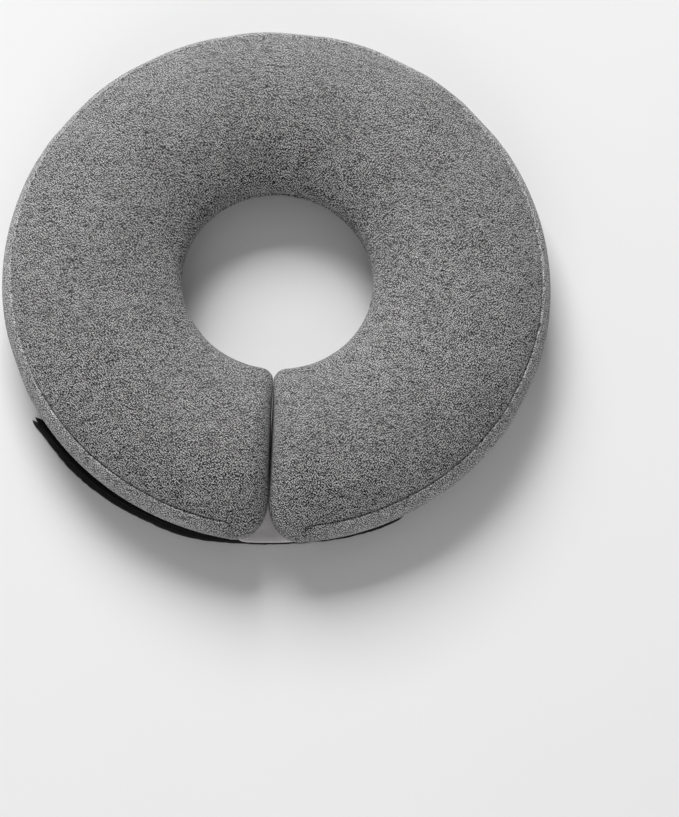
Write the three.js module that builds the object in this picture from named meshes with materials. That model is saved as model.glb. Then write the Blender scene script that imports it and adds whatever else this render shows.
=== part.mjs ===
// Inflatable recovery collar: a padded cloth ring worn round the neck of a pet.
// Millimetres and degrees, +Z up. The ring lies on its back. The origin is on the neck axis, where the
// ring meets the ground, and the slit between the ring's two ends faces -Y. An angle round the ring starts
// at the slit and grows towards +X, so the side at -X has negative angles.
import * as THREE from 'three';

// The ring's main form
const OUTER_RADIUS = 150;
const NECK_RADIUS = 52;
const THICKNESS = 48;
const CLOTH = 2;

// The rim, with a gusset that stands out past its two seams
const GUSSET_WIDTH = 20;
const RIM_BULGE = 5;

// The rounded neck edge, where the front and the back cloth meet in one seam
const NECK_EDGE_WIDTH = 20;
const NECK_BULGE = 5;

// The two ends of the ring, rounded towards the slit. The front cloth wraps round them past the rounding.
const SLIT_WIDTH = 0.9;
const END_RUN = 18;
const END_RIM_INSET = 22.5;
const END_NECK_INSET = 15;
const END_FACE_INSET = 12;
const END_WRAP = 2;

// Clearances between pieces of cloth
const SEAM_GAP = 0.3;
const PLY_GAP = 0.3;

// The closure behind the slit: the flap, its facing, and the loop strip beside the facing
const FLAP_THICKNESS = 2;
const FLAP_INNER_RADIUS = 62;
const FLAP_LEFT_ANGLE = 58.2;
const FLAP_RIGHT_ANGLE = 33;
const FACING_THICKNESS = 1.2;
const FACING_MARGIN = 1.8;
const FACING_LEFT_ANGLE = 7.2;
const FACING_RIGHT_ANGLE = 12;
const STRIP_THICKNESS = 2;
const STRIP_MARGIN = 2.2;

// How far past a ply the back cloth takes to come down to the ground again
const PRESS_RAMP_ANGLE = 9;

// The air valve on the back
const VALVE_ANGLE = 165;
const VALVE_RIM_INSET = 14;
const VALVE_FLANGE_RADIUS = 8;
const VALVE_FLANGE_THICKNESS = 1.2;
const VALVE_STEM_RADIUS = 4.5;
const VALVE_STEM_HEIGHT = 2.6;

// Facet counts, with the face and the neck edge counted for one half
const RING_CELL_COUNT = 48;
const END_CELL_COUNT = 5;
const HALF_FACE_CELL_COUNT = 4;
const RIM_CELL_COUNT = 4;
const HALF_EDGE_CELL_COUNT = 2;
const FLAP_CELL_COUNT = 24;
const VALVE_SIDE_COUNT = 16;

// The flap's outer edge: the share of the way from its left tip to its right end, and the radius there as
// a share of the outer radius
const FLAP_EDGE = [
  { along: 0.0, radius: 1.007 },
  { along: 0.13, radius: 1.008 },
  { along: 0.24, radius: 1.002 },
  { along: 0.36, radius: 0.989 },
  { along: 0.47, radius: 0.98 },
  { along: 0.57, radius: 0.964 },
  { along: 0.65, radius: 0.957 },
  { along: 0.74, radius: 0.955 },
  { along: 0.86, radius: 0.968 },
  { along: 0.95, radius: 0.975 },
  { along: 1.0, radius: 0.957 },
];

const MID_RADIUS = (OUTER_RADIUS + NECK_RADIUS) / 2;
const MID_HEIGHT = THICKNESS / 2;
const RIM_SEAM_RADIUS = OUTER_RADIUS - RIM_BULGE;
const NECK_SEAM_RADIUS = NECK_RADIUS + NECK_BULGE;
const VALVE_RADIUS = RIM_SEAM_RADIUS - VALVE_RIM_INSET;
const FACE_COLUMNS = HALF_EDGE_CELL_COUNT + 2 * HALF_FACE_CELL_COUNT;
const COLUMNS = 2 * FACE_COLUMNS + RIM_CELL_COUNT;

const radians = THREE.MathUtils.degToRad;
const degrees = THREE.MathUtils.radToDeg;
const lerp = THREE.MathUtils.lerp;

const SLIT_ANGLE = degrees(SLIT_WIDTH / 2 / MID_RADIUS);
const END_ANGLE = degrees(END_RUN / OUTER_RADIUS);
const WRAP_ANGLE = degrees(END_WRAP / OUTER_RADIUS);
const RING_START = SLIT_ANGLE + END_ANGLE + WRAP_ANGLE;
const RING_CELL_ANGLE = (360 - 2 * RING_START) / RING_CELL_COUNT;

const STACK_BASE = FLAP_THICKNESS + PLY_GAP;
const STRIP_RIGHT_ANGLE = FACING_LEFT_ANGLE + degrees(PLY_GAP / FLAP_INNER_RADIUS);

// The plies under the ring: their ends round the ring, and the height of their upper side
const PLIES = [
  { from: -FLAP_LEFT_ANGLE, to: FLAP_RIGHT_ANGLE, top: FLAP_THICKNESS },
  { from: -FACING_LEFT_ANGLE, to: FACING_RIGHT_ANGLE, top: STACK_BASE + FACING_THICKNESS },
  { from: -FLAP_LEFT_ANGLE, to: -STRIP_RIGHT_ANGLE, top: STACK_BASE + STRIP_THICKNESS },
];

function matte(color, roughness) {
  return new THREE.MeshStandardMaterial({ color, roughness, metalness: 0 });
}

const faceCloth = matte(0x7d7d7d, 0.95);
const gussetCloth = matte(0x8a8a8a, 0.95);
const blackPile = matte(0x17171a, 0.9);
const facingCloth = matte(0x9d9897, 0.9);
const valvePlastic = matte(0xd8d8d6, 0.5);

// A point at a radius, an angle round the ring and a height
function ringPoint(radius, angle, height) {
  const turn = radians(angle);
  return new THREE.Vector3(radius * Math.sin(turn), -radius * Math.cos(turn), height);
}

// The circle that is level at a crown and passes through a seam: its radius, and the angle of the arc
function crownArc(run, drop) {
  const radius = (run * run + drop * drop) / (2 * drop);
  return { radius, spread: Math.atan2(run, radius - drop) };
}

// One half of a face from its crown to a seam, as rows of run from the crown and height
function halfFace(run, seamHeight) {
  const arc = crownArc(run, MID_HEIGHT - seamHeight);
  const rows = [];
  for (let i = 0; i <= HALF_FACE_CELL_COUNT; i++) {
    const angle = (arc.spread * i) / HALF_FACE_CELL_COUNT;
    const height = MID_HEIGHT - arc.radius * (1 - Math.cos(angle));
    rows.push({ run: arc.radius * Math.sin(angle), height });
  }
  return rows;
}

// One half of a bulged edge from its middle to a seam, as rows of bulge past the seam and height
function halfEdge(halfWidth, bulge, cells) {
  const arc = crownArc(halfWidth, bulge);
  const rows = [];
  for (let i = 0; i <= cells; i++) {
    const angle = (arc.spread * i) / cells;
    rows.push({ bulge: bulge - arc.radius * (1 - Math.cos(angle)), height: arc.radius * Math.sin(angle) });
  }
  return rows;
}

// The upper half of the ring's section, from the middle of the neck edge over the front to the front rim
// seam, as points of radius and height above the middle
function frontSection() {
  const neckEdge = halfEdge(NECK_EDGE_WIDTH / 2, NECK_BULGE, HALF_EDGE_CELL_COUNT);
  const neckSide = halfFace(MID_RADIUS - NECK_SEAM_RADIUS, NECK_EDGE_WIDTH / 2).reverse();
  const rimSide = halfFace(RIM_SEAM_RADIUS - MID_RADIUS, GUSSET_WIDTH / 2);
  return [
    ...neckEdge.slice(0, -1).map((row) => new THREE.Vector2(NECK_SEAM_RADIUS - row.bulge, row.height)),
    ...neckSide.slice(0, -1).map((row) => new THREE.Vector2(MID_RADIUS - row.run, row.height)),
    ...rimSide.map((row) => new THREE.Vector2(MID_RADIUS + row.run, row.height)),
  ];
}

// The points of the rim between its two seams, from front to back
function rimSection() {
  const arc = crownArc(GUSSET_WIDTH / 2, RIM_BULGE);
  const points = [];
  for (let i = 1; i < RIM_CELL_COUNT; i++) {
    const angle = lerp(arc.spread, -arc.spread, i / RIM_CELL_COUNT);
    const radius = OUTER_RADIUS - arc.radius * (1 - Math.cos(angle));
    points.push(new THREE.Vector2(radius, arc.radius * Math.sin(angle)));
  }
  return points;
}

// The whole section as a closed row of points: neck edge, front, rim, back
function ringSection() {
  const front = frontSection();
  const back = front.slice(1).reverse().map((point) => new THREE.Vector2(point.x, -point.y));
  return [...front, ...rimSection(), ...back];
}

// The places round the ring where its section is drawn: the angle, and how far the end's rounding has
// drawn the section in, from 1 at the slit to 0 where the ring is full
function ringStations() {
  const rounding = [];
  for (let i = 0; i <= END_CELL_COUNT; i++) {
    const turn = ((Math.PI / 2) * i) / END_CELL_COUNT;
    rounding.push({ angle: SLIT_ANGLE + END_ANGLE * (1 - Math.cos(turn)), inset: 1 - Math.sin(turn) });
  }
  const full = [];
  for (let i = 0; i <= RING_CELL_COUNT; i++) {
    full.push({ angle: RING_START + RING_CELL_ANGLE * i, inset: 0 });
  }
  const farRounding = rounding.map((row) => ({ angle: 360 - row.angle, inset: row.inset })).reverse();
  return [...rounding, ...full, ...farRounding];
}

// How high the plies under the ring hold its back up at an angle
function pressHeight(angle) {
  const signed = angle > 180 ? angle - 360 : angle;
  const heights = PLIES.map((ply) => {
    const past = Math.max(ply.from - signed, signed - ply.to, 0) - RING_CELL_ANGLE;
    return (ply.top + PLY_GAP) * (1 - THREE.MathUtils.smoothstep(past, 0, PRESS_RAMP_ANGLE));
  });
  return Math.max(...heights);
}

// A section point at a station: drawn in near the slit, and never lower than what lies under the ring
function placeSectionPoint(point, station) {
  const run = point.x - MID_RADIUS;
  const reach = run > 0 ? OUTER_RADIUS - MID_RADIUS : MID_RADIUS - NECK_RADIUS;
  const radialInset = run > 0 ? END_RIM_INSET : END_NECK_INSET;
  const radius = MID_RADIUS + run * (1 - (radialInset * station.inset) / reach);
  const height = MID_HEIGHT + point.y * (1 - (END_FACE_INSET * station.inset) / MID_HEIGHT);
  return ringPoint(radius, station.angle, Math.max(height, pressHeight(station.angle)));
}

// The cover's closed outer surface: its points, and its cells sorted by the panel that they belong to.
// Each cell is a loop of point numbers, anticlockwise from outside.
function coverSurface() {
  const section = ringSection();
  const stations = ringStations();
  const points = stations.flatMap((station) => section.map((point) => placeSectionPoint(point, station)));
  const panels = { front: [], gusset: [], back: [] };
  const last = stations.length - 1;
  const wrapCells = END_CELL_COUNT + 1;
  const at = (row, column) => row * COLUMNS + (column % COLUMNS);
  for (let row = 0; row < last; row++) {
    const atEnd = row < wrapCells || row >= last - wrapCells;
    for (let column = 0; column < COLUMNS; column++) {
      const cell = [at(row, column), at(row, column + 1), at(row + 1, column + 1), at(row + 1, column)];
      const onRim = column >= FACE_COLUMNS && column < FACE_COLUMNS + RIM_CELL_COUNT;
      const inFront = column < FACE_COLUMNS || (onRim && atEnd);
      panels[inFront ? 'front' : onRim ? 'gusset' : 'back'].push(cell);
    }
  }
  for (const [row, ahead, behind] of [[0, 1, 0], [last, 0, 1]]) {
    const centre = points.push(ringPoint(MID_RADIUS, stations[row].angle, MID_HEIGHT)) - 1;
    for (let column = 0; column < COLUMNS; column++) {
      panels.front.push([at(row, column + ahead), at(row, column + behind), centre]);
    }
  }
  return { points, panels };
}

function cellTriangles(cell) {
  return cell.slice(2).map((corner, i) => [cell[0], cell[i + 1], corner]);
}

// The surface's outward direction at each of its points, the mean of the triangles round it by area
function pointNormals(points, cells) {
  const normals = points.map(() => new THREE.Vector3());
  const edge = new THREE.Vector3();
  for (const [a, b, c] of cells.flatMap(cellTriangles)) {
    const across = points[c].clone().sub(points[a]);
    edge.subVectors(points[b], points[a]).cross(across);
    for (const corner of [a, b, c]) normals[corner].add(edge);
  }
  return normals.map((normal) => normal.normalize());
}

// The free edges of a set of cells, in the direction in which their cells run
function freeEdges(cells) {
  const edges = new Map();
  for (const cell of cells) {
    cell.forEach((from, i) => {
      const to = cell[(i + 1) % cell.length];
      edges.set(`${from} ${to}`, [from, to]);
    });
  }
  return [...edges.values()].filter(([from, to]) => !edges.has(`${to} ${from}`));
}

// How far each point on a free edge moves into its own panel to leave half of the seam gap
function seamSetbacks(points, normals, edges) {
  const inward = new Map();
  for (const [from, to] of edges) {
    const along = points[to].clone().sub(points[from]).normalize();
    for (const corner of [from, to]) {
      const side = normals[corner].clone().cross(along).normalize();
      inward.set(corner, [...(inward.get(corner) ?? []), side]);
    }
  }
  const setbacks = new Map();
  for (const [corner, [first, second]] of inward) {
    const mitre = first.clone().add(second).divideScalar(1 + first.dot(second));
    setbacks.set(corner, mitre.multiplyScalar(SEAM_GAP / 2));
  }
  return setbacks;
}

// A panel of cloth as a closed solid: its outer side is the given cells, its inner side lies one cloth
// thickness inside, and walls close its free edges
function clothPanel(points, normals, cells) {
  const edges = freeEdges(cells);
  const setbacks = seamSetbacks(points, normals, edges);
  const none = new THREE.Vector3();
  const corner = (index, depth) =>
    points[index].clone().add(setbacks.get(index) ?? none).addScaledVector(normals[index], -depth);
  const positions = [];
  const addTriangle = (...corners) => corners.forEach((point) => positions.push(point.x, point.y, point.z));
  for (const [a, b, c] of cells.flatMap(cellTriangles)) {
    addTriangle(corner(a, 0), corner(b, 0), corner(c, 0));
    addTriangle(corner(c, CLOTH), corner(b, CLOTH), corner(a, CLOTH));
  }
  for (const [from, to] of edges) {
    addTriangle(corner(to, 0), corner(from, 0), corner(from, CLOTH));
    addTriangle(corner(to, 0), corner(from, CLOTH), corner(to, CLOTH));
  }
  const geometry = new THREE.BufferGeometry();
  geometry.setAttribute('position', new THREE.Float32BufferAttribute(positions, 3));
  geometry.computeVertexNormals();
  return geometry;
}

// The flap's outer radius at an angle, from the table of its edge
function flapEdgeRadius(angle) {
  const along = (angle + FLAP_LEFT_ANGLE) / (FLAP_LEFT_ANGLE + FLAP_RIGHT_ANGLE);
  const next = Math.max(1, FLAP_EDGE.findIndex((row) => row.along >= along - 1e-9));
  const [near, far] = [FLAP_EDGE[next - 1], FLAP_EDGE[next]];
  return OUTER_RADIUS * lerp(near.radius, far.radius, (along - near.along) / (far.along - near.along));
}

// A flat ply under the ring between two angles, its outer edge set in from the flap's by a margin
function plyGeometry(from, to, margin, base, thickness) {
  const share = (to - from) / (FLAP_LEFT_ANGLE + FLAP_RIGHT_ANGLE);
  const cells = Math.max(2, Math.round(FLAP_CELL_COUNT * share));
  const outer = [];
  const inner = [];
  for (let i = 0; i <= cells; i++) {
    const angle = lerp(from, to, i / cells);
    outer.push(ringPoint(flapEdgeRadius(angle) - margin, angle, 0));
    inner.push(ringPoint(FLAP_INNER_RADIUS, angle, 0));
  }
  const outline = [...outer, ...inner.reverse()].map((point) => new THREE.Vector2(point.x, point.y));
  const geometry = new THREE.ExtrudeGeometry(new THREE.Shape(outline), {
    depth: thickness,
    bevelEnabled: false,
  });
  return geometry.translate(0, 0, base);
}

// The valve's turned shape about +Y, flange first
function valveGeometry() {
  const top = VALVE_FLANGE_THICKNESS + VALVE_STEM_HEIGHT;
  const profile = [
    new THREE.Vector2(0, 0),
    new THREE.Vector2(VALVE_FLANGE_RADIUS, 0),
    new THREE.Vector2(VALVE_FLANGE_RADIUS, VALVE_FLANGE_THICKNESS),
    new THREE.Vector2(VALVE_STEM_RADIUS, VALVE_FLANGE_THICKNESS),
    new THREE.Vector2(VALVE_STEM_RADIUS, top),
    new THREE.Vector2(0, top),
  ];
  return new THREE.LatheGeometry(profile, VALVE_SIDE_COUNT);
}

// The valve stands on the back cloth's outer slope, square to it
function placeValve(mesh) {
  const arc = crownArc(RIM_SEAM_RADIUS - MID_RADIUS, MID_HEIGHT - GUSSET_WIDTH / 2);
  const slope = Math.asin((VALVE_RADIUS - MID_RADIUS) / arc.radius);
  const height = arc.radius * (1 - Math.cos(slope));
  const outward = ringPoint(Math.sin(slope), VALVE_ANGLE, -Math.cos(slope));
  mesh.position.copy(ringPoint(VALVE_RADIUS, VALVE_ANGLE, height)).addScaledVector(outward, PLY_GAP);
  mesh.quaternion.setFromUnitVectors(new THREE.Vector3(0, 1, 0), outward);
  return mesh;
}

function named(name, geometry, material) {
  const mesh = new THREE.Mesh(geometry, material);
  mesh.name = name;
  return mesh;
}

function buildCover() {
  const { points, panels } = coverSurface();
  const normals = pointNormals(points, Object.values(panels).flat());
  const cover = new THREE.Group();
  cover.add(named('front_panel', clothPanel(points, normals, panels.front), faceCloth));
  cover.add(named('rim_gusset', clothPanel(points, normals, panels.gusset), gussetCloth));
  cover.add(named('back_panel', clothPanel(points, normals, panels.back), faceCloth));
  return cover;
}

function buildClosure() {
  const [left, right] = [-FLAP_LEFT_ANGLE, FLAP_RIGHT_ANGLE];
  const flap = plyGeometry(left, right, 0, 0, FLAP_THICKNESS);
  const facing = plyGeometry(
    -FACING_LEFT_ANGLE, FACING_RIGHT_ANGLE, FACING_MARGIN, STACK_BASE, FACING_THICKNESS,
  );
  const strip = plyGeometry(left, -STRIP_RIGHT_ANGLE, STRIP_MARGIN, STACK_BASE, STRIP_THICKNESS);
  const closure = new THREE.Group();
  closure.add(named('closure_flap', flap, blackPile));
  closure.add(named('flap_facing', facing, facingCloth));
  closure.add(named('loop_strip', strip, blackPile));
  return closure;
}

const collar = new THREE.Group();
collar.name = 'recovery_collar';
collar.add(buildCover());
collar.add(buildClosure());
collar.add(placeValve(named('air_valve', valveGeometry(), valvePlastic)));

export default collar;
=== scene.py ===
import math

import bmesh
import bpy
from bpy.props import FloatProperty, FloatVectorProperty, IntProperty, PointerProperty
from mathutils import Matrix, Vector, noise


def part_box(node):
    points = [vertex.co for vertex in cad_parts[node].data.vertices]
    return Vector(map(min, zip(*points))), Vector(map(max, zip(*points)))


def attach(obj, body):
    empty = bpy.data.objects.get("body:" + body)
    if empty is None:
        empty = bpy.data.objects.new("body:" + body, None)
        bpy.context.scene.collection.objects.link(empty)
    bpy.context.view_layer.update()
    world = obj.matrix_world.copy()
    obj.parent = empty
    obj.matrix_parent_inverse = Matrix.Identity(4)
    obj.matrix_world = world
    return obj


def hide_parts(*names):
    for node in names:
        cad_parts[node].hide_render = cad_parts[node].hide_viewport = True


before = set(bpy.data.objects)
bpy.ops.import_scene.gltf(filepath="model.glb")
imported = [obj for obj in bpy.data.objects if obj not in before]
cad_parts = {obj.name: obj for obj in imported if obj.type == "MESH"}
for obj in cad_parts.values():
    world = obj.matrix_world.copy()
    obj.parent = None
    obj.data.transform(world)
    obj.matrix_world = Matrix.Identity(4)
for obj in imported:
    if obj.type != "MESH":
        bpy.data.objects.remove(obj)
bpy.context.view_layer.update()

bl_info = {
    "name": "Inflatable Recovery Collar",
    "version": (1, 0, 0),
    "blender": (4, 5, 0),
    "location": "3D View > Sidebar > Collar",
    "description": "Padded heather cloth ring with a rim gusset and a flap behind its slit",
    "category": "Add Mesh",
}

# The CAD frame's own measures, in metres
MM = 0.001
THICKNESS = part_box("front_panel")[1].z
MID_HEIGHT = THICKNESS / 2
OUTER_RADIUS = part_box("rim_gusset")[1].y
NECK_RADIUS = min(math.hypot(v.co.x, v.co.y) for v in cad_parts["front_panel"].data.vertices)
MID_RADIUS = (OUTER_RADIUS + NECK_RADIUS) / 2
HALF_WIDTH = (OUTER_RADIUS - NECK_RADIUS) / 2

# The numbers that mark the faces of the cover, and each panel's piece, CAD node and slot
FRONT, RIM, BACK, SLIT_FACE = 0, 1, 2, 3
PANELS = {
    FRONT: ("front_cloth", "front_panel", "heather_face"),
    RIM: ("gusset_cloth", "rim_gusset", "heather_gusset"),
    BACK: ("back_cloth", "back_panel", "heather_face")}
PLIES = ("closure_flap", "flap_facing", "loop_strip")
# Degrees by which the raised back runs on past a ply's ends, and over which it falls again
LEDGE, RAMP = 7.17, 9

CLOTH_MAP = "cloth_grain"
# One stitch of the knit, across and along, and the share by which each row is set off from the last
WALE, COURSE, ROW_SHIFT = 0.55 * MM, 0.55 * MM, 0.37
# How much of a neighbour's tone each stitch takes off its own, by steps and rows away
SHARPENING = {(-1, 0): 0.25, (1, 0): 0.25, (0, -1): 0.26, (0, 1): 0.26}
# How steeply the courses rise to the ring's middle, and how far out they are rounded off there
ARCH_SLOPE, ARCH_ROUNDING = 0.28, 40 * MM
# How far from the slit the gusset's colours start and end their change to the face's
FADE_START, FADE_END = 42 * MM, 21 * MM

# How far past the middle of the thickness, and past the neck edge, the slit opens into its mouth
MOUTH_RISE, MOUTH_FROM, MOUTH_FULL = 11 * MM, 8 * MM, 22 * MM
# The gusset seams that stay closed at the slit
CLOSED_SEAM = 0.08
# Frames of the cloth simulation, and how strongly the columns beside a rim seam are gathered
AIR_FRAMES, GATHER = 20, (1, 0.6, 0.2)
# Cells to each side over which the swelling is averaged, to be taken off the wrinkles
SWELL_REACH = 9

# Degrees from the slit at which a ply's free tip starts to be shaped, and is fully shaped
TIP_START, TIP_FULL = 51, 58.2
FLAP_TIP = {"drop": 0.6 * MM, "flare": 1.1 * MM, "reach": 1.4 * MM, "slant": 4.6 * MM}
STRIP_TIP = {
    "lift": 0.75 * MM, "drop": 0.5 * MM, "flare": 1.3 * MM, "reach": 1.6 * MM, "slant": 6 * MM,
    "cut": 5 * MM}
TAPE_WIDTH = 4.6 * MM
STITCH_INSET, STITCH_PITCH = 3.4 * MM, 3.1 * MM
STITCH_LENGTH, THREAD_THICKNESS = 2.3 * MM, 0.45 * MM
# The valve's half section, as radius and height in millimetres
VALVE_OUTLINE = (
    (0.2, 0.25), (6.9, 0.25), (7.6, 0.45), (7.9, 0.75), (7.75, 1.1), (7.2, 1.2), (6.3, 1.2),
    (5.9, 1.05), (5.4, 1.05), (5.1, 1.3), (4.5, 1.45), (4.45, 1.9), (4.2, 2.0), (4.2, 2.15),
    (4.45, 2.3), (4.4, 3.45), (4.1, 3.72), (3.4, 3.8), (3.0, 3.6), (2.4, 3.55), (0.2, 3.6))

# Stands a level loop up in the XZ plane
UPRIGHT = Matrix.Rotation(math.pi / 2, 4, "X")
# Place and size of the key and the fill light
KEY_LIGHT = ((-0.95, 3.0, 2.45), 2.2)
FILL_LIGHT = ((-0.2, -1.9, 1.0), 1.4)


def measure(name, default, description):
    return FloatProperty(name=name, description=description, default=default, unit="LENGTH")


def tint(name, default, description):
    return FloatVectorProperty(
        name=name, description=description, default=(*default, 1), size=4, subtype="COLOR")


class CollarForm(bpy.types.PropertyGroup):
    """The sizes of the padded ring."""
    gusset_width: measure("Gusset Width", 20 * MM, "Straight distance between the two rim seams")
    edge_bulge: measure(
        "Edge Bulge", 5 * MM, "How far the rim and the neck edge stand past their seams")
    slit_width: measure("Slit Width", 0.9 * MM, "Gap between the two ends, halfway out")
    slit_touch: measure("Slit at Rest", 0.1 * MM, "Gap where the padded ends press together")
    slit_mouth: measure("Slit Mouth", 2 * MM, "Gap between the padded ends at the front")
    end_run: measure("End Rounding", 18 * MM, "Length of the rounding of each end along the rim")
    end_rim_inset: measure(
        "End Inset at the Rim", 22.5 * MM, "How far the rounding draws the rim in at the slit")
    end_neck_inset: measure(
        "End Inset at the Neck", 6 * MM, "How far the rounding draws the neck edge in")
    end_face_inset: measure(
        "End Inset of the Faces", 12 * MM, "How far the rounding draws the faces in")
    end_wrap: measure(
        "End Wrap", 2 * MM, "How far the front cloth wraps round the rim past the rounding")
    ring_cells: IntProperty(name="Ring Cells", description="Faces round the ring", default=220)
    face_cells: IntProperty(name="Face Cells", description="Faces from seam to seam", default=28)
    edge_cells: IntProperty(name="Edge Cells", description="Faces across the rim", default=8)
    end_cells: IntProperty(name="End Cells", description="Faces along the end rounding", default=9)


class CollarCloth(bpy.types.PropertyGroup):
    """How the cloth is filled, sewn and coloured."""
    pressure: FloatProperty(
        name="Pressure", description="Air pressure in the simulation", default=4.0)
    seam_gather: FloatProperty(
        name="Seam Gather", description="Share by which the rim seams are gathered", default=0.02)
    deepest_wrinkle: measure(
        "Deepest Wrinkle", 0.35 * MM, "Cap on how far the simulation moves the cloth")
    pucker: measure("Seam Pucker", 0.3 * MM, "Height of the small puckers along the seams")
    cloth_wall: measure("Cloth Wall", 1.5 * MM, "Thickness of the padded cloth")
    seam_band: measure("Seam Band", 1.2 * MM, "Width of the cloth that rolls over into a seam")
    seam_depth: measure("Seam Depth", 2.4 * MM, "How deep the cloth turns in at a seam")
    face_dark: tint("Face Dark Yarn", (0.008, 0.008, 0.0083), "Dark yarn of the front and back")
    face_light: tint("Face Light Yarn", (0.61, 0.61, 0.61), "Light yarn of the front and back")
    gusset_dark: tint("Gusset Dark Yarn", (0.05, 0.05, 0.051), "Dark yarn of the gusset")
    gusset_light: tint("Gusset Light Yarn", (0.76, 0.76, 0.76), "Light yarn of the gusset")
    pile: tint("Hook-and-Loop Pile", (0.003, 0.003, 0.0033), "The black of the strip and the flap")
    binding: tint("Binding", (0.006, 0.006, 0.0065), "The dark tape round the flap's edge")
    facing: tint("Facing", (0.97, 0.925, 0.93), "The pale facing of the flap")
    valve: tint("Valve", (0.62, 0.64, 0.66), "The soft clear plastic of the air valve")


class CollarStage(bpy.types.PropertyGroup):
    """The camera, the floor and the lights."""
    distance: measure("Camera Distance", 1.8, "From the camera to the middle of the view")
    tilt: FloatProperty(
        name="Camera Tilt", description="Angle between the view and the neck axis",
        default=math.radians(20.302), subtype="ANGLE")
    swing: FloatProperty(
        name="Camera Swing", description="How far the camera stands to the left of the slit",
        default=math.radians(5.533), subtype="ANGLE")
    roll: FloatProperty(
        name="Camera Roll", description="Turn of the picture about the view",
        default=math.radians(1.936), subtype="ANGLE")
    aim: FloatVectorProperty(
        name="Camera Aim", description="The point in the middle of the view", subtype="TRANSLATION",
        size=3, default=(36.348 * MM, -72.302 * MM, 24 * MM))
    lens: FloatProperty(name="Lens", description="Focal length in millimetres", default=146.83)
    key_power: FloatProperty(name="Key Light", description="Its power in watts", default=190)
    fill_power: FloatProperty(name="Fill Light", description="Its power in watts", default=11)
    sky: FloatProperty(name="Sky", description="Strength of the light all round", default=0.22)
    floor_size: measure("Floor Size", 20.0, "Side of the floor")


# Small tools

def ring_angle(point):
    """Angle round the neck axis in degrees, 0 at the slit and growing towards +X."""
    return math.degrees(math.atan2(point.x, -point.y))


def ring_point(radius, angle, height):
    turn = math.radians(angle)
    return Vector((radius * math.sin(turn), -radius * math.cos(turn), height))


def from_axis(point):
    """Distance from the neck axis."""
    return math.hypot(point.x, point.y)


def outward(point):
    """The level direction from the neck axis to a point."""
    return Vector((point.x, point.y, 0)).normalized()


def level_turn(degrees):
    return Matrix.Rotation(math.radians(degrees), 3, "Z")


def smooth_step(low, high, value):
    share = min(max((value - low) / (high - low), 0), 1)
    return share * share * (3 - 2 * share)


def open_edges(bm):
    return [e for e in bm.edges if e.is_boundary]


def spin_level(bm, degrees, steps, whole=False):
    """Spins all that is drawn so far about the neck axis."""
    bmesh.ops.spin(
        bm, geom=bm.verts[:] + bm.edges[:], cent=(0, 0, 0), axis=(0, 0, 1),
        angle=math.radians(degrees), steps=steps, use_merge=whole)


def fill_ends(bm):
    bmesh.ops.holes_fill(bm, edges=open_edges(bm), sides=0)


def face_out(bm):
    bmesh.ops.recalc_face_normals(bm, faces=bm.faces[:])


def mesh_of(bm, name):
    data = bpy.data.meshes.new(name)
    bm.to_mesh(data)
    return data


def add_object(name, data):
    made = bpy.data.objects.new(name, data)
    bpy.context.scene.collection.objects.link(made)
    return made


def finish_piece(bm, name, node, material):
    """Turns a bmesh into a finished piece that stands for a CAD node."""
    data = mesh_of(bm, name)
    bm.free()
    data.shade_smooth()
    data.materials.append(material)
    piece = add_object(name, data)
    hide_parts(node)
    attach(piece, "root")
    return piece


def add_subdivision(piece):
    modifier = piece.modifiers.new("Subdivision", "SUBSURF")
    modifier.levels = modifier.render_levels = 1


def add_wall(piece, thickness):
    modifier = piece.modifiers.new("Wall", "SOLIDIFY")
    modifier.thickness = thickness
    modifier.offset = -1


# Materials

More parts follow.
